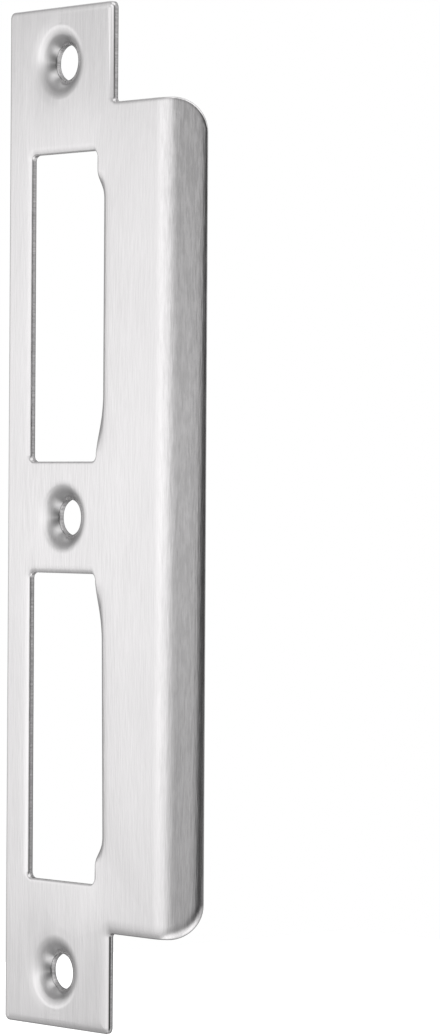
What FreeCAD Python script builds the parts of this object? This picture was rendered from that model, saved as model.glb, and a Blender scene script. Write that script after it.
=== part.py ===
import FreeCAD, Part
import math
import os

import Sketcher
from FreeCAD import Placement, Rotation, Vector

# A door strike plate pressed from one stainless sheet: a flat plate with an ear at each end, a lip
# that bends back along one side, two bolt windows and three sunk fixing holes.
# Frame: +Z runs up the plate, +X points to the lip, +Y points back into the door frame.
# The origin is midway between the two end fixing holes, in the plane of the sheet's back face.

doc = FreeCAD.newDocument("door_strike_plate")

SIZES = [
    ("plate_length", 160.0, "end to end over both ears"),
    ("sheet_thickness", 1.1, "the sheet"),
    ("ear_width", 25.0, "the ears, from the plate's straight side"),
    ("ear_height", 15.65, "from a plate's end to the wide middle"),
    ("ear_corner_radius", 1.0, "outer corners of the ears"),
    ("shoulder_radius", 0.7, "inner corner between an ear and the wide middle"),
    ("hole_side_distance", 12.25, "straight side to the end fixing holes"),
    ("middle_hole_offset", 1.3, "how much nearer to the lip the middle fixing hole stands"),
    ("hole_end_distance", 8.6, "plate's ends to the end fixing holes"),
    ("hole_radius", 2.8, "fixing holes"),
    ("sink_radius", 5.6, "where the sunk rim's shoulder leaves the flat face"),
    ("sink_shoulder_radius", 2.4, "rounding between the face and the sunk rim"),
    ("sink_top_slope", 18.0, "degrees between the face and the sunk rim where the rounding ends"),
    ("sink_rim_slope", 50.0, "degrees between the face and the sunk rim at the hole"),
    ("sink_back_slope", 42.0, "degrees between the back face and the cone behind the rim"),
    ("sink_back_radius", 0.8, "rounding between the back face and that cone"),
    ("rim_wall", 1.1, "length of the straight wall inside a fixing hole"),
    ("flat_width", 35.15, "straight side to the start of the lip's bend"),
    ("lip_inside_radius", 4.0, "inside radius of the lip's bend"),
    ("lip_angle", 46.0, "degrees that the lip bends back"),
    ("lip_straight", 4.35, "straight part of the lip past its bend"),
    ("lip_corner_radius", 5.4, "rounded free corners of the lip"),
    ("window_side_distance", 5.4, "straight side to the windows"),
    ("window_width", 15.9, "windows, up to their unrolled edge"),
    ("window_end_gap", 7.3, "sheet left between a window and the shoulder beyond it"),
    ("window_bridge", 17.5, "sheet left between the windows"),
    ("window_corner_radius", 1.0, "corners of the windows"),
    ("roll_strip", 2.5, "width of the strip beside a window that is rolled back"),
    ("roll_angle", 75.0, "degrees that the strip's edge is rolled back"),
    ("roll_outer_flat", 3.0, "unrolled length at a window's end nearest the ear"),
    ("roll_outer_run", 4.6, "length beyond it over which the roll rises from flat"),
    ("roll_inner_flat", 1.3, "unrolled length at a window's end nearest the bridge"),
    ("roll_inner_run", 8.5, "length beyond it over which the roll rises from flat"),
    ("edge_round", 0.35, "rounding of the front edges by the punch"),
]

sheet = doc.addObject("Spreadsheet::Sheet", "dims")
for row, (alias, value, meaning) in enumerate(SIZES, start=1):
    sheet.set("A%d" % row, alias)
    sheet.set("B%d" % row, repr(value))
    sheet.set("C%d" % row, meaning)
    sheet.setAlias("B%d" % row, alias)

# Sizes that follow from the ones above.
DERIVED = [
    ("half_length", "=plate_length / 2"),
    ("shoulder_z", "=half_length - ear_height"),
    ("hole_z", "=half_length - hole_end_distance"),
    ("ear_side_x", "=ear_width - hole_side_distance"),
    ("bend_x", "=flat_width - hole_side_distance"),
    ("lip_outside_radius", "=lip_inside_radius + sheet_thickness"),
    ("lip_end_x", "=bend_x + lip_outside_radius * sin(lip_angle * 1deg)"
                  " + lip_straight * cos(lip_angle * 1deg)"),
    ("lip_end_y", "=lip_inside_radius - lip_outside_radius * cos(lip_angle * 1deg)"
                  " + lip_straight * sin(lip_angle * 1deg)"),
    ("window_left_x", "=window_side_distance - hole_side_distance"),
    ("window_right_x", "=window_left_x + window_width"),
    ("roll_x", "=window_right_x + roll_strip"),
    ("window_low_z", "=window_bridge / 2"),
    ("window_high_z", "=shoulder_z - window_end_gap"),
    ("window_height", "=window_high_z - window_low_z"),
    ("roll_high_z", "=window_high_z - roll_outer_flat"),
    ("roll_low_z", "=window_low_z + roll_inner_flat"),
    ("sink_arc_radius", "=(sink_radius - hole_radius - sink_shoulder_radius * sin(sink_top_slope * 1deg))"
                        " / (sin(sink_rim_slope * 1deg) - sin(sink_top_slope * 1deg))"),
    ("sink_depth", "=sink_shoulder_radius * (1 - cos(sink_top_slope * 1deg)) + sink_arc_radius"
                   " * (cos(sink_top_slope * 1deg) - cos(sink_rim_slope * 1deg))"),
    ("rim_back_y", "=sink_depth + rim_wall - sheet_thickness"),
    ("sink_back_reach", "=hole_radius + sink_back_radius * sin(sink_back_slope * 1deg)"
                        " + (rim_back_y - sink_back_radius * (1 - cos(sink_back_slope * 1deg)))"
                        " / tan(sink_back_slope * 1deg)"),
    ("cut_margin", "=sheet_thickness"),
]
for row, (alias, formula) in enumerate(DERIVED, start=len(SIZES) + 2):
    sheet.set("A%d" % row, alias)
    sheet.set("B%d" % row, formula)
    sheet.setAlias("B%d" % row, alias)
doc.recompute()


def value(alias):
    return float(sheet.get(alias))


body = doc.addObject("PartDesign::Body", "strike_plate")
body.Label = "strike_plate"


def origin_feature(role):
    return next(f for f in body.Origin.OriginFeatures if f.Role == role)


def new_sketch(name, role):
    """A sketch on one of the body's own origin planes."""
    sketch = body.newObject("Sketcher::SketchObject", name)
    sketch.AttachmentSupport = [(origin_feature(role), "")]
    sketch.MapMode = "FlatFace"
    return sketch


ORIGIN = -1, 1
START, END, CENTRE = 1, 2, 3


def closed_profile(sketch, pieces, smooth=()):
    """Adds lines (start, end) and arcs (centre, radius, first angle, last angle), joined end to end in the
    order given. An arc is counter-clockwise, and "arc back" is one that the profile follows from its last
    angle to its first. The pieces numbered in smooth run into the next one without a corner."""
    ends = []
    for piece in pieces:
        if piece[0] == "line":
            a, b = piece[1:]
            sketch.addGeometry(Part.LineSegment(Vector(a[0], a[1], 0), Vector(b[0], b[1], 0)), False)
            ends.append((START, END))
        else:
            centre, radius, first, last = piece[1:5]
            turned = piece[0] == "arc back"
            circle = Part.Circle(Vector(centre[0], centre[1], 0), Vector(0, 0, 1), radius)
            sketch.addGeometry(Part.ArcOfCircle(circle, first, last), False)
            ends.append((END, START) if turned else (START, END))
    count = len(pieces)
    for i in range(count):
        after = (i + 1) % count
        kind = "Tangent" if i in smooth else "Coincident"
        sketch.addConstraint(Sketcher.Constraint(kind, i, ends[i][1], after, ends[after][0]))


def rule(sketch, kind, *where):
    sketch.addConstraint(Sketcher.Constraint(kind, *where))


def size(sketch, kind, where, name, formula, now):
    """A dimension of a sketch, bound to the sheet."""
    index = sketch.addConstraint(Sketcher.Constraint(kind, *where, now))
    sketch.renameConstraint(index, name)
    sketch.setExpression("Constraints." + name, formula)


def along(centre, radius, angle):
    return centre[0] + radius * math.cos(angle), centre[1] + radius * math.sin(angle)


# The sheet's section, seen from above: the flat plate, the bend and the lip.
def add_folded_sheet():
    t, bend, inside = value("sheet_thickness"), math.radians(value("lip_angle")), value("lip_inside_radius")
    left, bend_x, straight = -value("hole_side_distance"), value("bend_x"), value("lip_straight")
    centre = bend_x, inside
    turn_start, turn_end = -math.pi / 2, bend - math.pi / 2
    outer_end = along(centre, inside + t, turn_end)
    inner_end = along(centre, inside, turn_end)
    lip = straight * math.cos(bend), straight * math.sin(bend)
    outer_tip = outer_end[0] + lip[0], outer_end[1] + lip[1]
    inner_tip = inner_end[0] + lip[0], inner_end[1] + lip[1]
    sketch = new_sketch("SheetSection", "XY_Plane")
    closed_profile(sketch, [
        ("line", (left, -t), (bend_x, -t)),
        ("arc", centre, inside + t, turn_start, turn_end),
        ("line", outer_end, outer_tip),
        ("line", outer_tip, inner_tip),
        ("line", inner_tip, inner_end),
        ("arc back", centre, inside, turn_start, turn_end),
        ("line", (bend_x, 0), (left, 0)),
        ("line", (left, 0), (left, -t)),
    ], smooth=(0, 1, 4, 5))
    rule(sketch, "Horizontal", 6)
    rule(sketch, "Vertical", 7)
    rule(sketch, "Horizontal", 0)
    rule(sketch, "Coincident", 1, CENTRE, 5, CENTRE)
    rule(sketch, "Perpendicular", 2, 3)
    rule(sketch, "Parallel", 2, 4)
    rule(sketch, "PointOnObject", 6, START, -1)
    size(sketch, "Distance", (7,), "thickness", "dims.sheet_thickness", t)
    size(sketch, "DistanceX", (7, START, *ORIGIN), "side", "dims.hole_side_distance", -left)
    size(sketch, "DistanceX", (0, START, 0, END), "flat", "dims.flat_width", bend_x - left)
    size(sketch, "Radius", (5,), "inside", "dims.lip_inside_radius", inside)
    size(sketch, "Angle", (2,), "bend", "dims.lip_angle * 1 deg", bend)
    size(sketch, "Distance", (2,), "straight", "dims.lip_straight", straight)
    pad = body.newObject("PartDesign::Pad", "FoldedSheet")
    pad.Profile = sketch
    pad.SideType = "Symmetric"
    pad.setExpression("Length", "dims.plate_length")
    doc.recompute()
    return pad


folded_sheet = add_folded_sheet()


def symmetric_pocket(name, sketch):
    """A cut right through the sheet, along both sides of its sketch."""
    before = body.Tip.Shape.Volume
    pocket = body.newObject("PartDesign::Pocket", name)
    pocket.Profile = sketch
    pocket.Type = "ThroughAll"
    pocket.SideType = "Symmetric"
    doc.recompute()
    check_change(pocket, before, -1)
    return pocket


def check_change(feature, before, sign):
    """Stops the build where a feature took nothing away or added nothing."""
    if (feature.Shape.Volume - before) * sign <= 0:
        raise SystemExit("%s changed nothing" % feature.Name)


def mirrored_about_middle(name, originals):
    """The same features on the plate's lower half."""
    mirror = body.newObject("PartDesign::Mirrored", name)
    mirror.Originals = originals
    mirror.MirrorPlane = (origin_feature("XY_Plane"), [""])
    body.Tip = mirror
    doc.recompute()
    return mirror


# The shoulders: beside each ear the sheet is cut away down to the wide middle.
def add_shoulders():
    side, low, high = value("ear_side_x"), value("shoulder_z"), value("half_length") + value("cut_margin")
    far, radius = value("lip_end_x") + value("cut_margin"), value("shoulder_radius")
    sketch = new_sketch("ShoulderOutline", "XZ_Plane")
    closed_profile(sketch, [
        ("arc back", (side + radius, low + radius), radius, math.pi, 1.5 * math.pi),
        ("line", (side, low + radius), (side, high)),
        ("line", (side, high), (far, high)),
        ("line", (far, high), (far, low)),
        ("line", (far, low), (side + radius, low)),
    ], smooth=(0, 4))
    rule(sketch, "Vertical", 1)
    rule(sketch, "Horizontal", 2)
    rule(sketch, "Vertical", 3)
    rule(sketch, "Horizontal", 4)
    size(sketch, "Radius", (0,), "corner", "dims.shoulder_radius", radius)
    size(sketch, "DistanceX", (*ORIGIN, 1, START), "side", "dims.ear_side_x", side)
    size(sketch, "DistanceY", (*ORIGIN, 4, START), "shoulder", "dims.shoulder_z", low)
    size(sketch, "DistanceX", (*ORIGIN, 3, END), "far", "dims.lip_end_x + dims.cut_margin", far)
    size(sketch, "DistanceY", (*ORIGIN, 2, START), "high", "dims.half_length + dims.cut_margin", high)
    cut = symmetric_pocket("Shoulder", sketch)
    return mirrored_about_middle("Shoulders", [cut])


add_shoulders()


# The lip's free corners, rounded in the lip's own plane.
def add_lip_corners():
    high, radius, margin = value("shoulder_z"), value("lip_corner_radius"), value("cut_margin")
    sketch = new_sketch("LipCornerOutline", "XZ_Plane")
    turn = Rotation(Vector(0, 1, 0), value("lip_angle"))
    sketch.AttachmentOffset = Placement(Vector(value("lip_end_x"), 0, -value("lip_end_y")), turn)
    sketch.setExpression("AttachmentOffset.Rotation.Angle", "dims.lip_angle * 1 deg")
    sketch.setExpression("AttachmentOffset.Base.x", "dims.lip_end_x")
    sketch.setExpression("AttachmentOffset.Base.z", "-dims.lip_end_y")
    closed_profile(sketch, [
        ("arc", (-radius, high - radius), radius, 0, math.pi / 2),
        ("line", (-radius, high), (-radius, high + margin)),
        ("line", (-radius, high + margin), (margin, high + margin)),
        ("line", (margin, high + margin), (margin, high - radius)),
        ("line", (margin, high - radius), (0, high - radius)),
    ])
    rule(sketch, "Vertical", 1)
    rule(sketch, "Horizontal", 2)
    rule(sketch, "Vertical", 3)
    rule(sketch, "Horizontal", 4)
    rule(sketch, "PointOnObject", 0, START, -2)
    rule(sketch, "Horizontal", 0, START, 0, CENTRE)
    rule(sketch, "Vertical", 0, END, 0, CENTRE)
    size(sketch, "Radius", (0,), "corner", "dims.lip_corner_radius", radius)
    size(sketch, "DistanceY", (*ORIGIN, 0, END), "top", "dims.shoulder_z", high)
    size(sketch, "DistanceY", (0, END, 2, START), "above", "dims.cut_margin", margin)
    size(sketch, "DistanceX", (*ORIGIN, 3, START), "beside", "dims.cut_margin", margin)
    cut = symmetric_pocket("LipCorner", sketch)
    return mirrored_about_middle("LipCorners", [cut])


add_lip_corners()


# The upper bolt window, with a step at its lip side where the rolled strip goes.
def add_window():
    left, right, roll = value("window_left_x"), value("window_right_x"), value("roll_x")
    low, high = value("window_low_z"), value("window_high_z")
    roll_low, roll_high, radius = value("roll_low_z"), value("roll_high_z"), value("window_corner_radius")
    sketch = new_sketch("WindowOutline", "XZ_Plane")
    quarter = math.pi / 2
    closed_profile(sketch, [
        ("line", (left + radius, low), (right - radius, low)),
        ("arc", (right - radius, low + radius), radius, 3 * quarter, 4 * quarter),
        ("line", (right, low + radius), (right, roll_low)),
        ("line", (right, roll_low), (roll, roll_low)),
        ("line", (roll, roll_low), (roll, roll_high)),
        ("line", (roll, roll_high), (right, roll_high)),
        ("line", (right, roll_high), (right, high - radius)),
        ("arc", (right - radius, high - radius), radius, 0, quarter),
        ("line", (right - radius, high), (left + radius, high)),
        ("arc", (left + radius, high - radius), radius, quarter, 2 * quarter),
        ("line", (left, high - radius), (left, low + radius)),
        ("arc", (left + radius, low + radius), radius, 2 * quarter, 3 * quarter),
    ], smooth=(0, 1, 6, 7, 8, 9, 10, 11))
    for level in (0, 3, 5, 8):
        rule(sketch, "Horizontal", level)
    for upright in (2, 4, 6, 10):
        rule(sketch, "Vertical", upright)
    for corner in (7, 9, 11):
        rule(sketch, "Equal", 1, corner)
    rule(sketch, "Vertical", 2, START, 6, START)
    size(sketch, "Radius", (1,), "corner", "dims.window_corner_radius", radius)
    size(sketch, "DistanceX", (10, START, *ORIGIN), "left", "-dims.window_left_x", -left)
    size(sketch, "DistanceX", (10, START, 2, START), "width", "dims.window_width", right - left)
    size(sketch, "DistanceX", (3, START, 3, END), "strip", "dims.roll_strip", roll - right)
    size(sketch, "DistanceY", (*ORIGIN, 0, START), "low", "dims.window_low_z", low)
    size(sketch, "DistanceY", (0, START, 8, START), "height", "dims.window_height", high - low)
    size(sketch, "DistanceY", (0, START, 3, START), "inner", "dims.roll_inner_flat", roll_low - low)
    size(sketch, "DistanceY", (5, START, 8, START), "outer", "dims.roll_outer_flat", high - roll_high)
    return symmetric_pocket("Window", sketch)


# One section across the rolled strip: its outer arc is the sheet's front. The strip's front keeps its
# width, so the radius grows as the angle shrinks, and a flat section is a plain rectangle.
def roll_section(name, height, share):
    t, strip, roll = value("sheet_thickness"), value("roll_strip"), value("roll_x")
    angle = math.radians(value("roll_angle")) * share
    angle_formula = "(dims.roll_angle * %s)" % share
    sketch = new_sketch(name, "XY_Plane")
    sketch.setExpression("AttachmentOffset.Base.z", height)
    if angle == 0:
        closed_profile(sketch, [
            ("line", (roll, -t), (roll - strip, -t)),
            ("line", (roll - strip, -t), (roll - strip, 0)),
            ("line", (roll - strip, 0), (roll, 0)),
            ("line", (roll, 0), (roll, -t)),
        ])
        rule(sketch, "Horizontal", 0)
        rule(sketch, "Vertical", 1)
        rule(sketch, "Horizontal", 2)
        size(sketch, "Distance", (0,), "strip", "dims.roll_strip", strip)
    else:
        outer = strip / angle
        inner = outer - t
        centre = roll, inner
        last = -math.pi / 2
        first = last - angle
        closed_profile(sketch, [
            ("arc back", centre, outer, first, last),
            ("line", along(centre, outer, first), along(centre, inner, first)),
            ("arc", centre, inner, first, last),
            ("line", (roll, 0), (roll, -t)),
        ])
        rule(sketch, "Coincident", 0, CENTRE, 2, CENTRE)
        rule(sketch, "PointOnObject", 0, CENTRE, 1)
        rule(sketch, "PointOnObject", 0, CENTRE, 3)
        size(sketch, "Radius", (0,), "outside", "dims.roll_strip / (%s * pi / 180)" % angle_formula, outer)
        size(sketch, "Angle", (1, END, 3, START), "turn", "%s * 1 deg" % angle_formula, angle)
    rule(sketch, "Vertical", 3)
    rule(sketch, "PointOnObject", 3, START, -1)
    size(sketch, "Distance", (3,), "thickness", "dims.sheet_thickness", t)
    size(sketch, "DistanceX", (*ORIGIN, 3, START), "place", "dims.roll_x", roll)
    doc.recompute()
    return sketch


def loft_between(name, sections):
    before = body.Tip.Shape.Volume
    loft = body.newObject("PartDesign::AdditiveLoft", name)
    loft.Profile = sections[0]
    loft.Sections = sections[1:]
    doc.recompute()
    check_change(loft, before, 1)
    return loft


# The strip of sheet on the lip side of a window is pressed back so that a bolt slides over a smooth
# edge. It stays flat at the window's corners, and turns through the whole angle along the middle. It
# rises quickly from the end nearest the ear, and more slowly and evenly from the bridge.
TAPER_STEPS = 4


def add_rolled_edge():
    features = []
    for end, height_formula, ease in (("Outer", "dims.roll_high_z - dims.roll_outer_run * %s", 1.0),
                                      ("Inner", "dims.roll_low_z + dims.roll_inner_run * %s", 0.3)):
        sections = []
        for step in range(TAPER_STEPS + 1):
            way = step / TAPER_STEPS
            share = way * (1 - ease) + ease * way ** 2 * (3 - 2 * way)
            sections.append(roll_section("%sRoll%d" % (end, step), height_formula % way, share))
        features.append(loft_between(end + "Taper", sections))
    before = body.Tip.Shape.Volume
    middle = body.newObject("PartDesign::Pad", "RolledEdge")
    middle.Profile = roll_section("MiddleRoll", "dims.roll_low_z + dims.roll_inner_run", 1)
    middle.setExpression("Length", "dims.roll_high_z - dims.roll_outer_run"
                                   " - dims.roll_low_z - dims.roll_inner_run")
    doc.recompute()
    check_change(middle, before, 1)
    return features + [middle]


window = add_window()
mirrored_about_middle("Windows", [window] + add_rolled_edge())


def spin(kind, name, sketch, sign):
    """A full turn about the sketch's construction line."""
    before = body.Tip.Shape.Volume
    feature = body.newObject("PartDesign::" + kind, name)
    feature.Profile = sketch
    feature.ReferenceAxis = (sketch, ["Axis0"])
    feature.Angle = 360
    doc.recompute()
    check_change(feature, before, sign)
    return feature


def hole_axis(sketch, along_axis, y_from, y_to, z):
    """A construction line on a fixing hole's axis, along one line of the profile."""
    line = sketch.addGeometry(Part.LineSegment(Vector(y_from, z, 0), Vector(y_to, z, 0)), True)
    rule(sketch, "Coincident", line, START, along_axis, START)
    rule(sketch, "Coincident", line, END, along_axis, END)
    if z == 0:
        rule(sketch, "PointOnObject", along_axis, START, -1)
        sketch.setExpression("AttachmentOffset.Base.z", "dims.middle_hole_offset")
    else:
        size(sketch, "DistanceY", (along_axis, START, *ORIGIN), "place", "dims.hole_z", -z)


# Each fixing hole is pierced, and its rim is pressed back so that a countersunk head sits flush. The
# rim steepens towards the hole. First what stands out at the back, then the hollow and the hole.
def add_fixing_hole(place, z):
    t, margin = value("sheet_thickness"), value("cut_margin")
    hole, wall = value("hole_radius"), value("rim_wall")
    top_slope, rim_slope, back_slope = (
        math.radians(value("sink_%s_slope" % where)) for where in ("top", "rim", "back"))
    depth, reach = value("sink_depth"), value("sink_radius")
    shoulder, arc = value("sink_shoulder_radius"), value("sink_arc_radius")
    back, back_reach, back_radius = value("rim_back_y"), value("sink_back_reach"), value("sink_back_radius")

    cone = new_sketch(place + "ConeSection", "YZ_Plane")
    arc_centre = back_radius, z + back_reach
    closed_profile(cone, [
        ("line", (-t / 2, z), (-t / 2, z + back_reach)),
        ("line", (-t / 2, z + back_reach), (0, z + back_reach)),
        ("arc", arc_centre, back_radius, math.pi, math.pi + back_slope),
        ("line", along(arc_centre, back_radius, math.pi + back_slope), (back, z + hole)),
        ("line", (back, z + hole), (back, z)),
        ("line", (back, z), (-t / 2, z)),
    ], smooth=(2,))
    hole_axis(cone, 5, back, -t / 2, z)
    rule(cone, "Vertical", 0)
    rule(cone, "Horizontal", 1)
    rule(cone, "Vertical", 4)
    rule(cone, "Horizontal", 5)
    rule(cone, "PointOnObject", 2, START, -2)
    rule(cone, "Horizontal", 2, START, 2, CENTRE)
    size(cone, "Radius", (2,), "corner", "dims.sink_back_radius", back_radius)
    size(cone, "DistanceX", (0, START, *ORIGIN), "root", "dims.sheet_thickness / 2", t / 2)
    size(cone, "DistanceX", (*ORIGIN, 4, START), "back", "dims.rim_back_y", back)
    size(cone, "DistanceY", (5, START, 4, START), "rim", "dims.hole_radius", hole)
    size(cone, "DistanceY", (0, START, 0, END), "reach", "dims.sink_back_reach", back_reach)
    cone_feature = spin("Revolution", place + "Cone", cone, 1)

    hollow = new_sketch(place + "HollowSection", "YZ_Plane")
    shoulder_centre = shoulder - t, z + reach
    arc_centre = along(shoulder_centre, arc - shoulder, top_slope)
    closed_profile(hollow, [
        ("line", (-t - margin, z), (-t - margin, z + reach)),
        ("line", (-t - margin, z + reach), (-t, z + reach)),
        ("arc", shoulder_centre, shoulder, math.pi, math.pi + top_slope),
        ("arc", arc_centre, arc, math.pi + top_slope, math.pi + rim_slope),
        ("line", (depth - t, z + hole), (depth - t + wall + margin, z + hole)),
        ("line", (depth - t + wall + margin, z + hole), (depth - t + wall + margin, z)),
        ("line", (depth - t + wall + margin, z), (-t - margin, z)),
    ], smooth=(2,))
    hole_axis(hollow, 6, depth - t + wall + margin, -t - margin, z)
    rule(hollow, "Vertical", 0)
    rule(hollow, "Horizontal", 1)
    rule(hollow, "Horizontal", 4)
    rule(hollow, "Vertical", 5)
    rule(hollow, "Horizontal", 6)
    rule(hollow, "Horizontal", 2, START, 2, CENTRE)
    size(hollow, "Radius", (2,), "shoulder", "dims.sink_shoulder_radius", shoulder)
    size(hollow, "Radius", (3,), "rim", "dims.sink_arc_radius", arc)
    size(hollow, "DistanceX", (1, START, 1, END), "ahead", "dims.cut_margin", margin)
    size(hollow, "DistanceX", (2, START, *ORIGIN), "front", "dims.sheet_thickness", t)
    size(hollow, "DistanceX", (4, START, 4, END), "wall", "dims.rim_wall + dims.cut_margin", wall + margin)
    size(hollow, "DistanceY", (6, START, 4, START), "hole", "dims.hole_radius", hole)
    size(hollow, "DistanceY", (0, START, 0, END), "reach", "dims.sink_radius", reach)
    return [cone_feature, spin("Groove", place + "Hole", hollow, -1)]


add_fixing_hole("Middle", 0)
mirrored_about_middle("EndHoles", add_fixing_hole("End", -value("hole_z")))


def rounded(name, radius_alias, chosen):
    """A fillet on the edges of the body so far for which chosen says yes."""
    base = body.Tip
    names = ["Edge%d" % (i + 1) for i, edge in enumerate(base.Shape.Edges) if chosen(edge)]
    before = base.Shape.Volume
    fillet = body.newObject("PartDesign::Fillet", name)
    fillet.Base = (base, names)
    fillet.setExpression("Radius", "dims." + radius_alias)
    doc.recompute()
    check_change(fillet, before, -1)
    return fillet


NEAR = 1e-4
FACING = 0.9999


def lies_at(point, x=None, y=None, z=None):
    return all(wanted is None or abs(found - wanted) < NEAR for found, wanted in zip(point, (x, y, z)))


def is_ear_corner(edge):
    corners = [(x, z) for x in (-value("hole_side_distance"), value("ear_side_x"))
               for z in (-value("half_length"), value("half_length"))]
    return any(all(lies_at(end.Point, x=x, z=z) for end in edge.Vertexes) for x, z in corners)


rounded("EarCorners", "ear_corner_radius", is_ear_corner)


# The punch pulls the sheet's front edges over a little, round the plate's outline and the windows. The
# edges of the sunk holes and of the rolled strips are shaped by their own tools.
def front_faces(shape):
    """The flat face, the bend's outside and the lip's outside."""
    bend = math.radians(value("lip_angle"))
    lip_front = Vector(math.sin(bend), -math.cos(bend), 0)
    front_y = -value("sheet_thickness")
    found = []
    for face in shape.Faces:
        u0, u1, v0, v1 = face.ParameterRange
        normal = face.normalAt((u0 + u1) / 2, (v0 + v1) / 2)
        if face.Surface.TypeId == "Part::GeomPlane":
            flat = normal.dot(Vector(0, -1, 0)) > FACING and lies_at(face.CenterOfMass, y=front_y)
            lip = normal.dot(lip_front) > FACING and face.CenterOfMass.x > value("bend_x")
            if flat or lip:
                found.append(face)
        elif face.Surface.TypeId == "Part::GeomCylinder":
            centred = lies_at(face.Surface.Center, x=value("bend_x"), y=value("lip_inside_radius"))
            if centred and abs(face.Surface.Radius - value("lip_outside_radius")) < NEAR:
                found.append(face)
    return found


def front_outline():
    """The edges where the front ends, apart from the sunk holes' circles and the rolled strips."""
    seen = {}
    for face in front_faces(body.Tip.Shape):
        for edge in face.Edges:
            seen[edge.hashCode()] = seen.get(edge.hashCode(), 0) + 1
    right, roll = value("window_right_x"), value("roll_x")
    low, high = value("window_low_z"), value("window_high_z")

    def chosen(edge):
        ends = [vertex.Point for vertex in edge.Vertexes]
        circle = len(ends) == 1
        strip = all(right - NEAR < p.x < roll + NEAR and low < abs(p.z) < high for p in ends)
        return seen.get(edge.hashCode()) == 1 and not circle and not strip
    return chosen


rounded("FrontEdges", "edge_round", front_outline())

# Nothing is written unless every feature worked and the plate is one sound solid.
failed = [item.Name for item in doc.Objects if "Invalid" in item.State or "Error" in item.State]
if failed:
    raise SystemExit("failed: %s" % ", ".join(failed))
plate = body.Shape
if plate.isNull() or not plate.isValid() or len(plate.Solids) != 1:
    raise SystemExit("the plate isn't one valid solid")
os.makedirs("parts", exist_ok=True)
plate.exportStep("parts/%s.step" % body.Label)
print("strike_plate", round(plate.Volume, 1), "cubic mm")
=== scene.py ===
import math

import bpy
import numpy as np
from mathutils import Matrix, Vector
from mathutils.geometry import delaunay_2d_cdt


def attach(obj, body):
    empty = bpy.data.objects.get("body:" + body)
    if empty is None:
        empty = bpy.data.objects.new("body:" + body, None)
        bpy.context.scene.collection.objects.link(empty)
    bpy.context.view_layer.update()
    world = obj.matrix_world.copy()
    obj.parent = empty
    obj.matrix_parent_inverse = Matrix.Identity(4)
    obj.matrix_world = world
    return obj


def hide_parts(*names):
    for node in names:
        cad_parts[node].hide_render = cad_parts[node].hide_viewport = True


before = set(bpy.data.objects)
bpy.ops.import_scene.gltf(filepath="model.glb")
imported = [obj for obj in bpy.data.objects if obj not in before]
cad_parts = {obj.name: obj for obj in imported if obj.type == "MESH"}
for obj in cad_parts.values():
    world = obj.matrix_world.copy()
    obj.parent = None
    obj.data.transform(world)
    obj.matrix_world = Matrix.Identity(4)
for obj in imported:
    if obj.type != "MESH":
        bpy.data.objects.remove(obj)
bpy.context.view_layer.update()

# The blank: one flat piece of stainless sheet, sheared to its outline and pierced with two bolt
# windows and three fixing holes. Its sizes are in millimetres, and x runs over the unbent sheet.
MM = 0.001
SHEET, HALF_LENGTH = 1.1, 80.0
SIDE_X, EAR_X, SHOULDER_Z = -12.25, 12.75, 64.35
EAR_CORNER, SHOULDER_CORNER, LIP_CORNER = 1.0, 0.7, 5.4
BEND_X, INSIDE_RADIUS, LIP_ANGLE, LIP_STRAIGHT = 22.9, 4.0, math.radians(46.0), 4.35
LIP_X = BEND_X + (INSIDE_RADIUS + SHEET / 2) * LIP_ANGLE + LIP_STRAIGHT
WINDOW_LEFT, WINDOW_RIGHT, WINDOW_LOW, WINDOW_HIGH, WINDOW_CORNER = -6.85, 9.05, 8.75, 57.05, 1.0
HOLE_PITCH, MIDDLE_OFFSET, HOLE_RADIUS = 71.4, 1.3, 2.8
PLATE = [
    (SIDE_X, -HALF_LENGTH, EAR_CORNER), (EAR_X, -HALF_LENGTH, EAR_CORNER),
    (EAR_X, -SHOULDER_Z, SHOULDER_CORNER), (LIP_X, -SHOULDER_Z, LIP_CORNER),
    (LIP_X, SHOULDER_Z, LIP_CORNER), (EAR_X, SHOULDER_Z, SHOULDER_CORNER),
    (EAR_X, HALF_LENGTH, EAR_CORNER), (SIDE_X, HALF_LENGTH, EAR_CORNER),
]
WINDOWS = [
    [(WINDOW_LEFT, low, WINDOW_CORNER), (WINDOW_LEFT, high, WINDOW_CORNER),
     (WINDOW_RIGHT, high, WINDOW_CORNER), (WINDOW_RIGHT, low, WINDOW_CORNER)]
    for low, high in ((WINDOW_LOW, WINDOW_HIGH), (-WINDOW_HIGH, -WINDOW_LOW))
]
HOLES = [(0.0, -HOLE_PITCH), (MIDDLE_OFFSET, 0.0), (0.0, HOLE_PITCH)]
CORNER_STEPS, CIRCLE_STEPS, LEAST_RADIUS = 14, 96, 0.02


def rounded_outline(corners, inset):
    """A closed loop of points. Each corner is x, z and a radius, and the sheet's inner corners turn the
    other way. The loop runs inset millimetres to the left of the corners' own line."""
    points = []
    for corner, last, following in zip(corners, corners[-1:] + corners[:-1], corners[1:] + corners[:1]):
        here = np.array(corner[:2])
        before = here - np.array(last[:2])
        after = np.array(following[:2]) - here
        before /= np.linalg.norm(before)
        after /= np.linalg.norm(after)
        turn = 1.0 if before[0] * after[1] - before[1] * after[0] > 0 else -1.0
        left_before = np.array([-before[1], before[0]])
        left_after = np.array([-after[1], after[0]])
        middle = here + turn * corner[2] * (left_before + left_after)
        radius = corner[2] - turn * inset
        if radius < LEAST_RADIUS:
            middle = here + (inset + LEAST_RADIUS) * (left_before + left_after)
            radius = LEAST_RADIUS
        for step in range(CORNER_STEPS + 1):
            angle = step / CORNER_STEPS * math.pi / 2
            spoke = -turn * (math.cos(angle) * left_before + math.sin(angle) * left_after)
            points.append(middle + radius * spoke)
    return np.array(points)


def circle(x, z, radius):
    angles = np.arange(CIRCLE_STEPS) * 2 * math.pi / CIRCLE_STEPS
    return np.stack([x + radius * np.cos(angles), z + radius * np.sin(angles)], axis=1)


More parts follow.
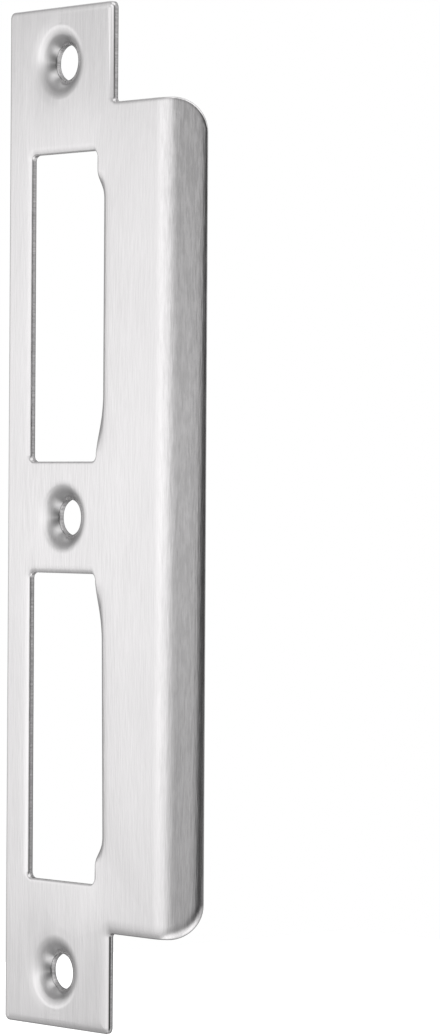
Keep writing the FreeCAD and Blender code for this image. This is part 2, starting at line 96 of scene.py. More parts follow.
# Lines across the blank keep its mesh fine where the sheet is shaped: in from the edges, in rings round
# the holes, along the bend, and over the strips beside the windows that are rolled back.
EDGE_STEPS = [0.0, 0.015, 0.04, 0.08, 0.13, 0.2, 0.3, 0.45, 0.65, 0.9, 1.3]
OUTER_STEPS = [1.8, 2.4]
RIM_STEPS = [0.0, 0.01, 0.03, 0.06, 0.1]
SINK_RINGS = [3.05 + 0.1 * i for i in range(30)] + [6.1, 6.35, 6.65, 7.0, 7.5]
ROLL_LEAD, ROLL_STRIP = 1.2, 2.15
ROLL_X = WINDOW_RIGHT + ROLL_STRIP + ROLL_LEAD
ROLL_OUTER_FLAT, ROLL_INNER_FLAT, ROLL_OUTER_RUN, ROLL_INNER_RUN = 3.0, 1.3, 4.6, 8.5
ROLL_HIGH, ROLL_LOW = WINDOW_HIGH - ROLL_OUTER_FLAT, WINDOW_LOW + ROLL_INNER_FLAT
BEND_COLUMNS, ROLL_COLUMNS, TAPER_ROWS = 20, 22, 14
MERGED_WITHIN, LEAST_AREA, LEAST_LENGTH = 1e-5, 1e-9, 1e-12
flat_points = []
flat_lines = []


def add_line(points, closed):
    start = len(flat_points)
    flat_points.extend((float(x), float(z)) for x, z in points)
    count = len(points)
    flat_lines.extend((start + i, start + (i + 1) % count) for i in range(count if closed else count - 1))


def add_columns(first_x, last_x, columns, low, high):
    for column in range(columns + 1):
        x = first_x + (last_x - first_x) * column / columns
        add_line([(x, low), (x, high)], False)


for corners in (PLATE, *WINDOWS):
    for step in EDGE_STEPS + (OUTER_STEPS if corners is PLATE else []):
        add_line(rounded_outline(corners, step), True)
for x, z in HOLES:
    for radius in [HOLE_RADIUS + step for step in RIM_STEPS] + SINK_RINGS:
        add_line(circle(x, z, radius), True)
add_columns(BEND_X, LIP_X - LIP_STRAIGHT, BEND_COLUMNS, -SHOULDER_Z, SHOULDER_Z)
for side in (1, -1):
    add_columns(WINDOW_RIGHT, ROLL_X, ROLL_COLUMNS, side * WINDOW_LOW, side * WINDOW_HIGH)
    for row in range(TAPER_ROWS + 1):
        way = row / TAPER_ROWS
        for z in (ROLL_HIGH - way * ROLL_OUTER_RUN, ROLL_LOW + way * ROLL_INNER_RUN):
            add_line([(WINDOW_RIGHT, side * z), (ROLL_X, side * z)], False)
found = delaunay_2d_cdt([Vector(p) for p in flat_points], flat_lines, [], 0, MERGED_WITHIN)
flat = np.array([tuple(p) for p in found[0]])
triangles = np.array(found[2])


def inside(points, loop):
    """Which points lie inside a loop."""
    crossings = np.zeros(len(points), dtype=int)
    for a, b in zip(loop, np.roll(loop, -1, axis=0)):
        level = (a[1] > points[:, 1]) != (b[1] > points[:, 1])
        rise = b[1] - a[1] if abs(b[1] - a[1]) > LEAST_LENGTH else LEAST_LENGTH
        crossings += level & (points[:, 0] < a[0] + (points[:, 1] - a[1]) * (b[0] - a[0]) / rise)
    return crossings % 2 == 1


# What lies past the outline or in an opening is waste, and so is a triangle with no area.
plate_loop = rounded_outline(PLATE, 0)
window_loops = [rounded_outline(corners, 0) for corners in WINDOWS]
middles = flat[triangles].mean(axis=1)
kept = inside(middles, plate_loop)
for opening in window_loops + [circle(x, z, HOLE_RADIUS) for x, z in HOLES]:
    kept &= ~inside(middles, opening)
one_side, other_side = (flat[triangles[:, i]] - flat[triangles[:, 0]] for i in (1, 2))
kept &= np.abs(one_side[:, 0] * other_side[:, 1] - other_side[:, 0] * one_side[:, 1]) > LEAST_AREA
used, triangles = np.unique(triangles[kept], return_inverse=True)
triangles = triangles.reshape(-1, 3)
flat = flat[used]
count = len(flat)


def nearest_edge(points, loop):
    """How far each point lies from a loop of points, and which way the sheet's edge there faces."""
    best = np.full(len(points), np.inf)
    facing = np.zeros((len(points), 2))
    for a, b in zip(loop, np.roll(loop, -1, axis=0)):
        line = b - a
        square = max(float(line @ line), LEAST_LENGTH)
        share = np.clip(((points - a) @ line) / square, 0, 1)
        nearest = a + share[:, None] * line
        distance = np.hypot(*(points - nearest).T)
        closer = distance < best
        best[closer] = distance[closer]
        facing[closer] = np.array([line[1], -line[0]]) / math.sqrt(square)
    return best, facing


def fading(way, width, power=1):
    """1 where the way from an edge is nothing, and 0 from that width on."""
    return np.clip(1 - way / width, 0, 1) ** power


def rounding(way, radius):
    """How far a rounded edge falls, at that way in from the edge."""
    left = np.clip(radius - way, 0, radius)
    return radius - np.sqrt(radius * radius - left * left)


outer, facing = nearest_edge(flat, plate_loop)
drawn = outer.copy()
for loop in window_loops:
    distance, window_facing = nearest_edge(flat, loop)
    facing[distance < drawn] = window_facing[distance < drawn]
    drawn = np.minimum(drawn, distance)
faces_right, faces_up = np.clip(facing, 0, 1).T
faces_left, faces_down = np.clip(-facing, 0, 1).T
rim = np.full(count, np.inf)
left_of_rim = np.zeros(count)
for x, z in HOLES:
    from_axis = np.hypot(flat[:, 0] - x, flat[:, 1] - z)
    closer = from_axis - HOLE_RADIUS < rim
    rim[closer] = from_axis[closer] - HOLE_RADIUS
    left_of_rim[closer] = np.clip((x - flat[closer, 0]) / from_axis[closer], 0, 1)

# The punch draws the front down towards its edges before it shears through, but less along edges that
# face up or to the left, and it rounds the very edge.
DRAWN_WIDTH, DRAWN_DEPTH, DRAWN_POWER = 1.3, 0.2, 2.2
NARROW_WIDTH, NARROW_DEPTH, NARROW_SPREAD = 0.5, 0.09, 1.4
EDGE_ROUND, SHARPER_LEFT, ROUNDER_CORNER, RIM_ROUND = 0.16, 0.4, 2, 0.1
BACK_ROUND_WIDTH, BACK_ROUND_DEPTH = 0.07, 0.04
narrow = np.clip(NARROW_SPREAD * np.maximum(faces_up, faces_left), 0, 1)
draw_width = DRAWN_WIDTH + (NARROW_WIDTH - DRAWN_WIDTH) * narrow
draw_depth = DRAWN_DEPTH + (NARROW_DEPTH - DRAWN_DEPTH) * narrow
edge_round = EDGE_ROUND * (1 - SHARPER_LEFT * faces_left + ROUNDER_CORNER * faces_up * faces_right)
front_depth = draw_depth * fading(drawn, draw_width, DRAWN_POWER)
front_depth += rounding(drawn, edge_round) + rounding(rim, RIM_ROUND)
back_depth = BACK_ROUND_DEPTH * fading(np.minimum(drawn, rim), BACK_ROUND_WIDTH, 2)

# Down the lip and the lower ear its clearance grows, and the draw with it, here as shares across the
# plate and up it. Most of all it grows round the lip's lower corner.
UNEVEN_WIDTH, UNEVEN_DEPTH = 2.4, 0.25
UNEVEN_ACROSS = [8.0, EAR_X, EAR_X + 1.0, BEND_X, BEND_X + 3.0], [0.0, 1.0, 0.25, 0.25, 1.0]
UNEVEN_UPWARDS = [-65.0, -5.0, 32.0, 48.0], [0.75, 0.4, 0.4, 0.0]
CORNER_WIDTH, CORNER_DEPTH, CORNER_POWER, CORNER_FADE = 1.5, 0.38, 1.6, 5.0
uneven = np.interp(flat[:, 0], *UNEVEN_ACROSS) * np.interp(flat[:, 1], *UNEVEN_UPWARDS)
front_depth += UNEVEN_DEPTH * uneven * fading(outer, UNEVEN_WIDTH, 2)
in_from_corner = LIP_CORNER * (1 - math.sqrt(0.5))
past_corner = np.hypot(flat[:, 0] - LIP_X + in_from_corner, flat[:, 1] + SHOULDER_Z - in_from_corner)
at_corner = fading(past_corner ** 2, CORNER_FADE ** 2)
front_depth += CORNER_DEPTH * at_corner * fading(outer, CORNER_WIDTH, CORNER_POWER)

# The sheet gives a little as it is pressed: to the left of each sunk rim the front sags, and beside the
# lower window's lower end it slopes softly towards the window.
SAG_START, SAG_WIDTH, SAG_DEPTH = 2.3, 3.2, 0.14
SLOPE_MIDDLE, SLOPE_WIDTH, SLOPE_ABOVE, SLOPE_BELOW, SLOPE_DEPTH = -52.0, 8.0, 26.0, 12.0, 0.3
front_depth += SAG_DEPTH * left_of_rim * fading(rim - SAG_START, SAG_WIDTH, 2)
slope_reach = np.where(flat[:, 1] > SLOPE_MIDDLE, SLOPE_ABOVE, SLOPE_BELOW)
from_slope = np.hypot((flat[:, 0] - WINDOW_RIGHT) / SLOPE_WIDTH, (flat[:, 1] - SLOPE_MIDDLE) / slope_reach)
front_depth += SLOPE_DEPTH * fading(from_slope ** 2, 1, 2)

# Each edge that only one triangle uses is on the sheared wall.
sides = np.concatenate([triangles[:, [0, 1]], triangles[:, [1, 2]], triangles[:, [2, 0]]]).tolist()
sides = dict.fromkeys(map(tuple, sides))
wall_edges = [(a, b) for a, b in sides if (b, a) not in sides]
outward = np.zeros((count, 2))
for a, b in wall_edges:
    line = flat[b] - flat[a]
    normal = np.array([line[1], -line[0]])
    normal /= max(np.linalg.norm(normal), LEAST_LENGTH)
    outward[a] += normal
    outward[b] += normal
wall_points = sorted({point for pair in wall_edges for point in pair})
wall_outward = outward[wall_points] / np.linalg.norm(outward[wall_points], axis=1)[:, None]

# Across the wall: smooth where the punch cut, then torn and drawn in a little towards the back. Each of
# its rows of points has its share of the way from front to back and its shift outwards.
WALL_ROWS = [(0.04, 0.0), (0.12, 0.0), (0.42, -0.004), (0.50, -0.02), (0.78, -0.03), (0.93, -0.045)]
BACK_SHIFT = -0.05


def layer(points, y):
    return np.stack([points[:, 0], y, points[:, 1]], axis=1)


back_flat = flat.copy()
back_flat[wall_points] += wall_outward * BACK_SHIFT
vertices = [layer(flat, front_depth - SHEET), layer(back_flat, -back_depth)]
for share, shift in WALL_ROWS:
    row_depth = (front_depth[wall_points] - SHEET) * (1 - share)
    vertices.append(layer(flat[wall_points] + wall_outward * shift, row_depth))
vertices = np.concatenate(vertices)

# The wall's rows by their points' numbers: the front's edge, the rows between and the back's edge.
rows = np.tile(np.arange(count), (len(WALL_ROWS) + 2, 1))
rows[-1] += count
rows[1:-1, wall_points] = np.arange(2 * count, len(vertices)).reshape(len(WALL_ROWS), -1)
tails, heads = np.array(wall_edges).T
wall_faces = np.stack([rows[:-1, heads], rows[:-1, tails], rows[1:, tails], rows[1:, heads]], axis=2)
faces = triangles.tolist() + (triangles[:, ::-1] + count).tolist()
faces += wall_faces.transpose(1, 0, 2).reshape(-1, 4).tolist()
blank_mesh = bpy.data.meshes.new("blank")
blank_mesh.from_pydata((vertices * MM).tolist(), [], faces)

# What the finish follows, point by point. The walls' dark lines are painted shade where the edges turn
# away. They are given from the front edge to the back edge at four heights, and fade up the plate and
# inside the holes. The grain is coarser on the lip and worn towards the plate's ends. The sunk rims are
# painted darker towards their holes, a painted shade for the dark ring their slopes mirror.
# The edge lines are painted shade, darkest at the wall's front and back edges and lower down the plate.
EDGE_SHADE_HEIGHTS = [-66.0, -57.0, 20.0, 62.0]
EDGE_SHADES = [[0.9, 0.8, 0.6, 0.0], [0.9, 0.8, 0.55, 0.1], [0.1, 0.25, 0.0, 0.0], [0.1, 0.3, 0.1, 0.05],
         [0.1, 0.25, 0.0, 0.0], [0.9, 0.35, 0.15, 0.1], [1.0, 0.8, 0.5, 0.3], [1.0, 0.7, 0.45, 0.3]]
EDGE_SHADE_WIDTH, HOLE_EDGE_SHADES, NEAR_HOLE = 0.2, 0.4, 1.0
FOLDED_WIDTH, FOLDED_UPWARDS = 4.0, ([-60.0, -20.0, 20.0], [0.35, 0.8, 1.1])
WORN_HEIGHTS = [40.0, 60.0], [0.0, 1.0]
# How far from each hole the sunk rim is painted darker, a painted shade for the dark ring on its slope. The
# same mark also smooths the rim's grain.
RIM_SHADE_WIDTH = 2.7
edge_shades = np.array([np.interp(flat[:, 1], EDGE_SHADE_HEIGHTS, levels) for levels in EDGE_SHADES])
edge_shades[:, rim < NEAR_HOLE] *= HOLE_EDGE_SHADES
seam = np.zeros(len(vertices))
# Painted shade: a dark line along the front's edges that face right and down, wider round the lip's lower
# corner.
seam[:count] = edge_shades[0] * np.maximum(faces_right, faces_down) * fading(outer, EDGE_SHADE_WIDTH * (1 + at_corner))
seam[rows[-1, wall_points]] = edge_shades[-1][wall_points]
seam[2 * count:] = edge_shades[1:-1][:, wall_points].ravel()
sheared = np.arange(len(vertices)) >= 2 * count
folded = np.clip((vertices[:, 0] - BEND_X) / FOLDED_WIDTH, 0, 1)
folded *= np.interp(vertices[:, 2], *FOLDED_UPWARDS)
worn = np.interp(np.abs(vertices[:, 2]), *WORN_HEIGHTS)
sunk = np.zeros(len(vertices))
for x, z in HOLES:
    from_rim = np.hypot(vertices[:, 0] - x, vertices[:, 2] - z) - HOLE_RADIUS
    sunk = np.maximum(sunk, fading(from_rim, RIM_SHADE_WIDTH))
marks = {"sheared": sheared, "seam": seam, "folded": folded, "worn": worn, "sunk": sunk}
for name, levels in marks.items():
    attribute = blank_mesh.attributes.new(name, "FLOAT", "POINT")
    attribute.data.foreach_set("value", levels.astype(np.float32))
blank_mesh.validate()
blank_mesh.shade_smooth()
blank = bpy.data.objects.new("blank", blank_mesh)
bpy.context.scene.collection.objects.link(blank)


class Socket:
    """An output of a node. Sums on it add Math nodes to its tree."""

    def __init__(self, tree, output=None):
        self.tree = tree
        self.output = output

    def node(self, kind, settings=None, inputs=None, output=0):
        """A new node. The settings are set first, and inputs holds a value or a Socket for each input."""
        made = self.tree.nodes.new(kind)
        for name, value in (settings or {}).items():
            if name == "stops":
                ramp = made.color_ramp
                while len(ramp.elements) < len(value):
                    ramp.elements.new(0.5)
                for element, (position, shade) in zip(ramp.elements, value):
                    element.position = position
                    element.color = (shade, shade, shade, 1)
            else:
                setattr(made, name, value)
        for name, value in (inputs or {}).items():
            if isinstance(value, Socket):
                self.tree.links.new(value.output, made.inputs[name])
            else:
                made.inputs[name].default_value = value
        return Socket(self.tree, made.outputs[output] if made.outputs else None)

    def math(self, operation, *values):
        return self.node("ShaderNodeMath", {"operation": operation}, dict(enumerate(values)))

    def __add__(self, other):
        return self.math("ADD", self, other)

    def __sub__(self, other):
        return self.math("SUBTRACT", self, other)

    def __rsub__(self, other):
        return self.math("SUBTRACT", other, self)

    def __mul__(self, other):
        return self.math("MULTIPLY", self, other)

    def __truediv__(self, other):
        return self.math("DIVIDE", self, other)

    def __rtruediv__(self, other):
        return self.math("DIVIDE", other, self)

    def __neg__(self):
        return self.math("MULTIPLY", self, -1.0)

    __radd__ = __add__
    __rmul__ = __mul__


# The press: one rule shapes the flat blank. It sinks the rims of the fixing holes, rolls the windows'
# edges back beside the lip, and folds the lip. A reach is how far from a hole's axis a face starts to
# sink, and a run is how far a roll takes to rise from nothing.
LENGTHS_MM = {
    "Sheet": SHEET, "Hole Pitch": HOLE_PITCH, "Middle Offset": MIDDLE_OFFSET,
    "Front Reach": 5.95, "Front Shoulder": 4.4, "Front Arc": 3.65, "Back Reach": 4.78, "Back Shoulder": 0.8,
    "Roll Line": ROLL_X, "Roll Lead": ROLL_LEAD, "Roll Strip": ROLL_STRIP, "Roll High": ROLL_HIGH,
    "Roll Low": ROLL_LOW, "Roll Outer Run": ROLL_OUTER_RUN, "Roll Inner Run": ROLL_INNER_RUN,
    "Bend Line": BEND_X, "Inside Radius": INSIDE_RADIUS,
}
ANGLES_DEG = {"Front Slope": 17.0, "Back Slope": 42.0, "Lead Angle": 8.0, "Roll Angle": 75.0}
press_sizes = {name: length * MM for name, length in LENGTHS_MM.items()}
press_sizes |= {name: math.radians(angle) for name, angle in ANGLES_DEG.items()}
press_sizes["Lip Angle"] = LIP_ANGLE
press = bpy.data.node_groups.new("press", "GeometryNodeTree")
press.interface.new_socket("Geometry", in_out="INPUT", socket_type="NodeSocketGeometry")
press.interface.new_socket("Geometry", in_out="OUTPUT", socket_type="NodeSocketGeometry")
identifiers = {}
for name, size in press_sizes.items():
    entry = press.interface.new_socket(name, in_out="INPUT", socket_type="NodeSocketFloat")
    entry.default_value = size
    identifiers[name] = entry.identifier
entrance = press.nodes.new("NodeGroupInput")
named = {name: Socket(press, entrance.outputs[name]) for name in press_sizes}
shape = Socket(press)
position = shape.node("GeometryNodeInputPosition")
x, y, z = (shape.node("ShaderNodeSeparateXYZ", None, {0: position}, axis) for axis in range(3))


def least(a, b):
    return shape.math("MINIMUM", a, b)


def most(a, b):
    return shape.math("MAXIMUM", a, b)


def sine(angle):
    return shape.math("SINE", angle)


def cosine(angle):
    return shape.math("COSINE", angle)


def arc_depth(way, radius):
    """How far an arc that starts along the sheet has left it after that way across."""
    return radius - shape.math("SQRT", radius * radius - way * way)


def shoulder(face, from_axis):
    """How deep a face has sunk on the shoulder of its rim, and the way past that shoulder."""
    run = named[face + " Shoulder"] * sine(named[face + " Slope"])
    across = most(named[face + " Reach"] - from_axis, 0.0)
    return arc_depth(least(across, run), named[face + " Shoulder"]), most(across - run, 0.0)


# Sinking: the front curves back towards each hole, along a wide shoulder and then a second arc. The back
# has a small shoulder and then runs straight.
nearest_hole = shape.math("ROUND", z / named["Hole Pitch"]) * named["Hole Pitch"]
at_end = least(shape.math("ABSOLUTE", nearest_hole / named["Hole Pitch"]), 1.0)
sideways = x - named["Middle Offset"] * (1.0 - at_end)
from_axis = shape.math("SQRT", sideways * sideways + (z - nearest_hole) * (z - nearest_hole))
arc_start = named["Front Arc"] * sine(named["Front Slope"])
front_sink, past_shoulder = shoulder("Front", from_axis)
front_sink = front_sink + arc_depth(arc_start + past_shoulder, named["Front Arc"])
front_sink = front_sink - arc_depth(arc_start, named["Front Arc"])
back_sink, past_shoulder = shoulder("Back", from_axis)
back_sink = back_sink + past_shoulder * shape.math("TANGENT", named["Back Slope"])
depth_share = (y + named["Sheet"]) / named["Sheet"]
y = y + front_sink + depth_share * (back_sink - front_sink)

# Rolling: the strip beside a window turns back, gently at first and then round a tight arc, fully along
# the middle and not at all at its ends.
OUTER_EASE, INNER_EASE, LEAST_ROLL = 1.0, 0.3, 0.01


def rise(way, ease):
    """From 0 to 1: straight where ease is 0, and slow at both ends where it is 1."""
    way = least(most(way, 0.0), 1.0)
    return way * (1.0 - ease) + ease * way * way * (3.0 - 2.0 * way)


height = shape.math("ABSOLUTE", z)
roll_share = least(rise((named["Roll High"] - height) / named["Roll Outer Run"], OUTER_EASE),
                   rise((height - named["Roll Low"]) / named["Roll Inner Run"], INNER_EASE))
rolled = least(roll_share / LEAST_ROLL, 1.0) * shape.math("GREATER_THAN", x, 0.0)
roll_share = most(roll_share, LEAST_ROLL)
lead_radius = named["Roll Lead"] / (named["Lead Angle"] * roll_share)
roll_radius = named["Roll Strip"] / ((named["Roll Angle"] - named["Lead Angle"]) * roll_share)
strip_way = most(named["Roll Line"] - x, 0.0)
rolled = rolled * shape.math("GREATER_THAN", strip_way, 0.0)
lead_turn = least(strip_way, named["Roll Lead"]) / lead_radius
turn = lead_turn + most(strip_way - named["Roll Lead"], 0.0) / roll_radius
from_front = y + named["Sheet"]
rolled_x = named["Roll Line"] - lead_radius * sine(lead_turn)
rolled_x = rolled_x - roll_radius * (sine(turn) - sine(lead_turn)) + from_front * sine(turn)
rolled_y = lead_radius * (1.0 - cosine(lead_turn)) + roll_radius * (cosine(lead_turn) - cosine(turn))
rolled_y = rolled_y - named["Sheet"] + from_front * cosine(turn)
x = x + rolled * (rolled_x - x)
y = y + rolled * (rolled_y - y)

# Folding: the lip turns round the bend's centre and then runs on straight.
neutral = named["Inside Radius"] + named["Sheet"] / 2.0
past = most(x - named["Bend Line"], 0.0)
turn = least(past / neutral, named["Lip Angle"])
beyond = most(past - neutral * named["Lip Angle"], 0.0)
spoke = named["Inside Radius"] - y
folded_x = least(x, named["Bend Line"]) + spoke * sine(turn) + beyond * cosine(named["Lip Angle"])
folded_y = named["Inside Radius"] - spoke * cosine(turn) + beyond * sine(named["Lip Angle"])
pressed = shape.node("ShaderNodeCombineXYZ", None, {0: folded_x, 1: folded_y, 2: z})

# The finish: satin stainless, brushed along the plate, with coarser marks on the lip. The sheared walls are
# duller and scored across, with dark lines of painted shade along their edges, and the sunk rims are a
# little darker with painted shade.
FACE_DARK, FACE_PALE = (0.75, 0.737, 0.743, 1), (0.91, 0.894, 0.902, 1)
SHEARED_DARK, SHEARED_PALE = (0.34, 0.334, 0.337, 1), (0.80, 0.786, 0.793, 1)
# Two greys of painted shade: one darkens the sunk rims, the other draws the dark lines along the edges.
RIM_SHADE_GREY, EDGE_SHADE_GREY = (0.34, 0.34, 0.34, 1), (0.06, 0.06, 0.06, 1)
SATIN_ROUGHNESS, SHEARED_ROUGHER, LIP_GRAIN, WORN_GRAIN, RIM_SHADE_SHARE = 0.18, 0.16, 3.0, 0.35, 0.62
brushed = bpy.data.materials.new("brushed_stainless")
brushed.use_nodes = True
brushed.node_tree.nodes.clear()
finish = Socket(brushed.node_tree)
coords = finish.node("ShaderNodeTexCoord", None, None, "Object")


def streaks(across, through, along, detail, roughness=0.55):
    """Noise drawn out along the plate, from the size of its streaks in millimetres each way."""
    scale = (1000 / across, 1000 / through, 1000 / along)
    mapped = finish.node("ShaderNodeMapping", None, {"Vector": coords, "Scale": scale})
    return finish.node("ShaderNodeTexNoise", None, {
        "Vector": mapped, "Scale": 1.0, "Detail": detail, "Roughness": roughness})


def swing(noise, amount):
    """A noise turned into a change to both sides of nothing."""
    return (noise - 0.5) * amount


def marked(name):
    """A level that the blank's points carry."""
    return finish.node("ShaderNodeAttribute", {"attribute_name": name}, None, "Fac")


def mixed(share, under, over):
    """One colour over another, by that share."""
    return share.node("ShaderNodeMix", {"data_type": "RGBA"}, {0: share, 6: under, 7: over}, 2)


fine = streaks(0.11, 0.11, 5.0, 3.0)
grain = streaks(0.30, 0.30, 3.6, 2.0)
broad = streaks(1.4, 1.4, 40.0, 3.0)
clouds = streaks(9.0, 9.0, 22.0, 2.0)
scuffs = streaks(0.55, 0.55, 2.6, 3.0)
scores = streaks(0.3125, 2.5, 0.3125, 2.0, 0.6)
wall = marked("sheared")
on_lip = marked("folded")
grain_left = 1.0 - marked("worn") * WORN_GRAIN
# Painted shade on the sunk rims, which also softens the relief of their grain.
rim_shade_and_smoothing = marked("sunk") * (1.0 - wall)
rough = SATIN_ROUGHNESS + swing(fine, 0.16) + swing(broad, 0.12) + swing(clouds, 0.08)
rough = rough + wall * (SHEARED_ROUGHER + swing(scores, 0.2))
tone = (swing(fine, 0.85) + swing(grain, 0.8)) * (1.0 + on_lip * LIP_GRAIN) * grain_left
tone = 0.5 + tone + swing(broad, 0.6) + swing(clouds, 0.8) + swing(scuffs, 3.8) * on_lip
sheared_colour = mixed(0.5 + swing(scores, 1.8), SHEARED_DARK, SHEARED_PALE)
colour = mixed(wall, mixed(tone, FACE_DARK, FACE_PALE), sheared_colour)
# Painted shade over the colour: dark lines along the edges, and the sunk rims darkened towards their holes.
colour = mixed(marked("seam"), mixed(rim_shade_and_smoothing * RIM_SHADE_SHARE, colour, RIM_SHADE_GREY), EDGE_SHADE_GREY)
relief = (fine * 0.1 + grain) * grain_left * (1.0 - wall) * (1.0 - rim_shade_and_smoothing * 0.8) + scores * wall
bumped = finish.node("ShaderNodeBump", None, {"Strength": 0.8, "Distance": 0.00004, "Height": relief})
surface = finish.node("ShaderNodeBsdfPrincipled", None, {
    "Base Color": colour, "Metallic": 1.0, "Roughness": rough, "Normal": bumped})
finish.node("ShaderNodeOutputMaterial", None, {"Surface": surface})

# The blank goes through the press with its finish on, and comes out as the plate.
moved = shape.node("GeometryNodeSetPosition", None, {
    "Geometry": Socket(press, entrance.outputs["Geometry"]), "Position": pressed})
whole = shape.node("GeometryNodeRealizeInstances", None, {"Geometry": moved})
dressed = shape.node("GeometryNodeSetMaterial", None, {"Geometry": whole, "Material": brushed})
shape.node("NodeGroupOutput", None, {"Geometry": dressed})
stroke = blank.modifiers.new("press", "NODES")
stroke.node_group = press
for name, size in press_sizes.items():
    stroke[identifiers[name]] = size
formed = bpy.data.meshes.new_from_object(blank.evaluated_get(bpy.context.evaluated_depsgraph_get()))
bpy.data.objects.remove(blank)
plate = bpy.data.objects.new("pressed_plate", formed)
bpy.context.scene.collection.objects.link(plate)
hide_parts("strike_plate")
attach(plate, "root")

# The studio: a soft light tent round the plate, which hangs in it as it does in the photograph. The tent
# is brightest in front and to the left, and darker above and below the level where the lip mirrors it.
# High up and low down, pale screens at the right, rear and left light the walls and the back.
world = bpy.data.worlds.new("studio")
bpy.context.scene.world = world
world.use_nodes = True
world.node_tree.nodes.clear()
light = Socket(world.node_tree)
direction = light.node("ShaderNodeTexCoord", None, None, "Generated")
dx, dy, dz = (light.node("ShaderNodeSeparateXYZ", None, {0: direction}, axis) for axis in range(3))
azimuth = light.math("ARCTAN2", dx, -dy) / (2 * math.pi) + 0.5
elevation = light.math("ARCSINE", dz) / math.pi + 0.5


def ramp(angle, span, stops):
    """A level for each direction, from stops of degrees and level."""
    places = [(degrees / span + 0.5, level) for degrees, level in stops]
    return light.node("ShaderNodeValToRGB", {"stops": places}, {0: angle})


def screen(round_about, up_and_down):
    """The levels of a screen, round the plate and up and down."""
    return ramp(azimuth, 360, round_about) * ramp(elevation, 180, up_and_down)


front_screen = screen(
    [(-180, 0.75), (-158, 0.45), (-135, 0.28), (-112, 0.30), (-92, 0.38), (-76, 0.50), (-60, 0.745),
     (-47, 0.885), (-38, 0.95), (-25, 1.02), (-15, 1.08), (-6, 1.12), (3, 1.07), (12, 0.91), (22, 0.75),
     (32, 0.64), (44, 0.605), (54, 0.50), (66, 0.18), (76, 0.06), (108, 0.06), (140, 0.7), (180, 0.80)],
    [(-90, 0.42), (-40, 0.42), (-30, 0.46), (-20, 0.60), (-12, 0.76), (-7.5, 0.875), (-5, 0.89),
     (-3.3, 0.93), (-1.5, 0.985), (0.5, 1.0), (3.2, 0.98), (6, 0.865), (10, 0.75), (14, 0.67), (20, 0.56),
     (28, 0.45), (36, 0.45), (50, 0.58), (90, 0.60)])
lip_shade = screen(
    [(-180, 0.0), (18, 0.0), (36, 1.0), (64, 1.0), (80, 0.0), (180, 0.0)],
    [(-90, 0.25), (-4, 0.23), (-1, 0.0), (1, 0.0), (4, 0.24), (90, 0.25)])
right_screen = screen(
    [(-180, 0.0), (-25, 0.0), (0, 0.45), (15, 0.9), (120, 0.9), (160, 0.5), (180, 0.0)],
    [(-90, 1.0), (-48, 1.0), (-38, 0.65), (-28, 0.2), (-15, 0.0), (15, 0.0), (28, 0.2), (38, 0.6),
     (48, 0.9), (90, 0.8)])
rear_screen = screen(
    [(-180, 0.0), (86, 0.0), (110, 0.5), (150, 0.5), (175, 0.1), (180, 0.0)],
    [(-90, 0.3), (-55, 0.9), (-15, 1.0), (-7, 0.0), (7, 0.0), (15, 0.9), (55, 0.8), (90, 0.3)])
left_screen = screen(
    [(-180, 0.3), (-120, 0.6), (-82, 0.6), (-62, 0.15), (-45, 0.0), (180, 0.0)],
    [(-90, 0.3), (-44, 0.5), (-34, 0.3), (-22, 0.0), (18, 0.0), (28, 0.4), (38, 0.9), (60, 0.9), (90, 0.3)])
tent = front_screen * (1.0 - lip_shade) + right_screen + rear_screen + left_screen

# The camera sees white behind the plate, and so does what reflects that backdrop.
BACKDROP_AZIMUTH, BACKDROP_COSINE = math.radians(48.0), 0.985
WHITE = (1, 1, 1, 1)
camera_ray, glossy_ray, through_ray = (
    light.node("ShaderNodeLightPath", None, None, name)
    for name in ("Is Camera Ray", "Is Glossy Ray", "Is Transmission Ray"))
away = dy * math.cos(BACKDROP_AZIMUTH) - dx * math.sin(BACKDROP_AZIMUTH)
behind = light.math("GREATER_THAN", away, BACKDROP_COSINE)
seen = light.math("MINIMUM", camera_ray + through_ray + glossy_ray * behind, 1.0)
glow = light.node("ShaderNodeBackground", None, {"Color": mixed(seen, tent, WHITE), "Strength": 1.0})
light.node("ShaderNodeOutputWorld", None, {"Surface": glow})

# One soft lamp, level with the plate and a little to its left in front.
LAMP_AZIMUTH, LAMP_DISTANCE, LAMP_WIDTH, LAMP_HEIGHT, LAMP_LEVEL = math.radians(-40), 0.45, 0.50, 0.22, 0.17
soft_box = bpy.data.lights.new("front_box", "AREA")
soft_box.shape = "RECTANGLE"
soft_box.size = LAMP_WIDTH
soft_box.size_y = LAMP_HEIGHT
soft_box.energy = LAMP_LEVEL * math.pi * LAMP_WIDTH * LAMP_HEIGHT
lamp = bpy.data.objects.new("front_box", soft_box)
lamp.location = Vector((math.sin(LAMP_AZIMUTH), -math.cos(LAMP_AZIMUTH), 0.0)) * LAMP_DISTANCE
lamp.rotation_euler = (-lamp.location).to_track_quat("-Z", "Y").to_euler()
bpy.context.scene.collection.objects.link(lamp)

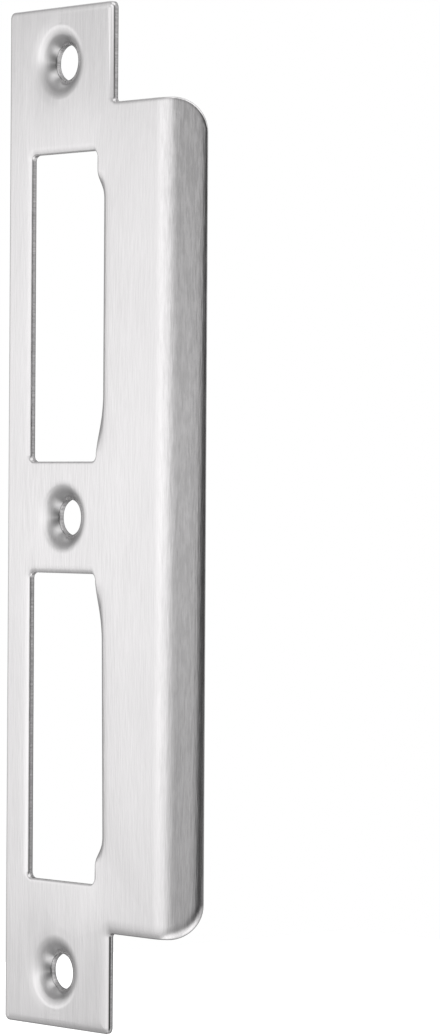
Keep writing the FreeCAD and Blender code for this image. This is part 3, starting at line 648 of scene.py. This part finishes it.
# The floor: a wide sheet of pale paper, far enough below the plate to be out of the camera's picture. The
# metal mirrors the tent through it, so that no edge of the paper shows there, and it hides nothing that
# is looked at from below.
FLOOR_DROP, FLOOR_HALF, PAPER_WHITE, PAPER_GLOW = 0.36, 2.0, (0.9, 0.9, 0.9, 1), 0.6
paper = bpy.data.materials.new("pale_paper")
paper.use_nodes = True
paper.node_tree.nodes.clear()
page = Socket(paper.node_tree)
matt = page.node("ShaderNodeBsdfDiffuse", None, {"Color": PAPER_WHITE})
bright = page.node("ShaderNodeEmission", None, {"Color": WHITE, "Strength": PAPER_GLOW})
lit = page.node("ShaderNodeAddShader", None, {0: matt, 1: bright})
clear = page.node("ShaderNodeBsdfTransparent")
mirrored = page.node("ShaderNodeLightPath", None, None, "Is Glossy Ray")
from_below = page.node("ShaderNodeNewGeometry", None, None, "Backfacing")
seen_through = page.math("MAXIMUM", mirrored, from_below)
paper_surface = page.node("ShaderNodeMixShader", None, {0: seen_through, 1: lit, 2: clear})
page.node("ShaderNodeOutputMaterial", None, {"Surface": paper_surface})
floor_corners = [(FLOOR_HALF * across, FLOOR_HALF * back, -FLOOR_DROP)
                 for across, back in ((-1, -1), (1, -1), (1, 1), (-1, 1))]
floor_mesh = bpy.data.meshes.new("floor")
floor_mesh.from_pydata(floor_corners, [], [(0, 1, 2, 3)])
floor_mesh.materials.append(paper)
floor = bpy.data.objects.new("floor", floor_mesh)
bpy.context.scene.collection.objects.link(floor)

# The camera stands as in the photograph: level with the plate, and round towards the lip's side.
AZIMUTH, ELEVATION, ROLL = (math.radians(a) for a in (47.7744, 0.3676, 0.3492))
DISTANCE, AIM_RIGHT, AIM_UP = 0.65969, 0.024532, 0.0001212
FOCAL_PIXELS, PICTURE_HEIGHT, SENSOR_MM = 4202.0, 1035, 36.0
EARS_MIDDLE = Vector((0.00025, 0, 0))
backwards = Vector((math.sin(AZIMUTH) * math.cos(ELEVATION), -math.cos(AZIMUTH) * math.cos(ELEVATION),
                    math.sin(ELEVATION)))
right = Vector((math.cos(AZIMUTH), math.sin(AZIMUTH), 0))
up = backwards.cross(right)
eye = right * AIM_RIGHT + up * AIM_UP + backwards * DISTANCE + EARS_MIDDLE
camera_right = right * math.cos(ROLL) + up * math.sin(ROLL)
camera_up = up * math.cos(ROLL) - right * math.sin(ROLL)
turned = Matrix((camera_right, camera_up, backwards)).transposed().to_4x4()
lens = bpy.data.cameras.new("camera")
lens.sensor_width = SENSOR_MM
lens.lens = FOCAL_PIXELS / PICTURE_HEIGHT * SENSOR_MM
lens.clip_start = 0.01
camera = bpy.data.objects.new("camera", lens)
camera.matrix_world = Matrix.Translation(eye) @ turned
bpy.context.scene.collection.objects.link(camera)
bpy.context.scene.camera = camera
bpy.context.scene.view_settings.view_transform = "Standard"
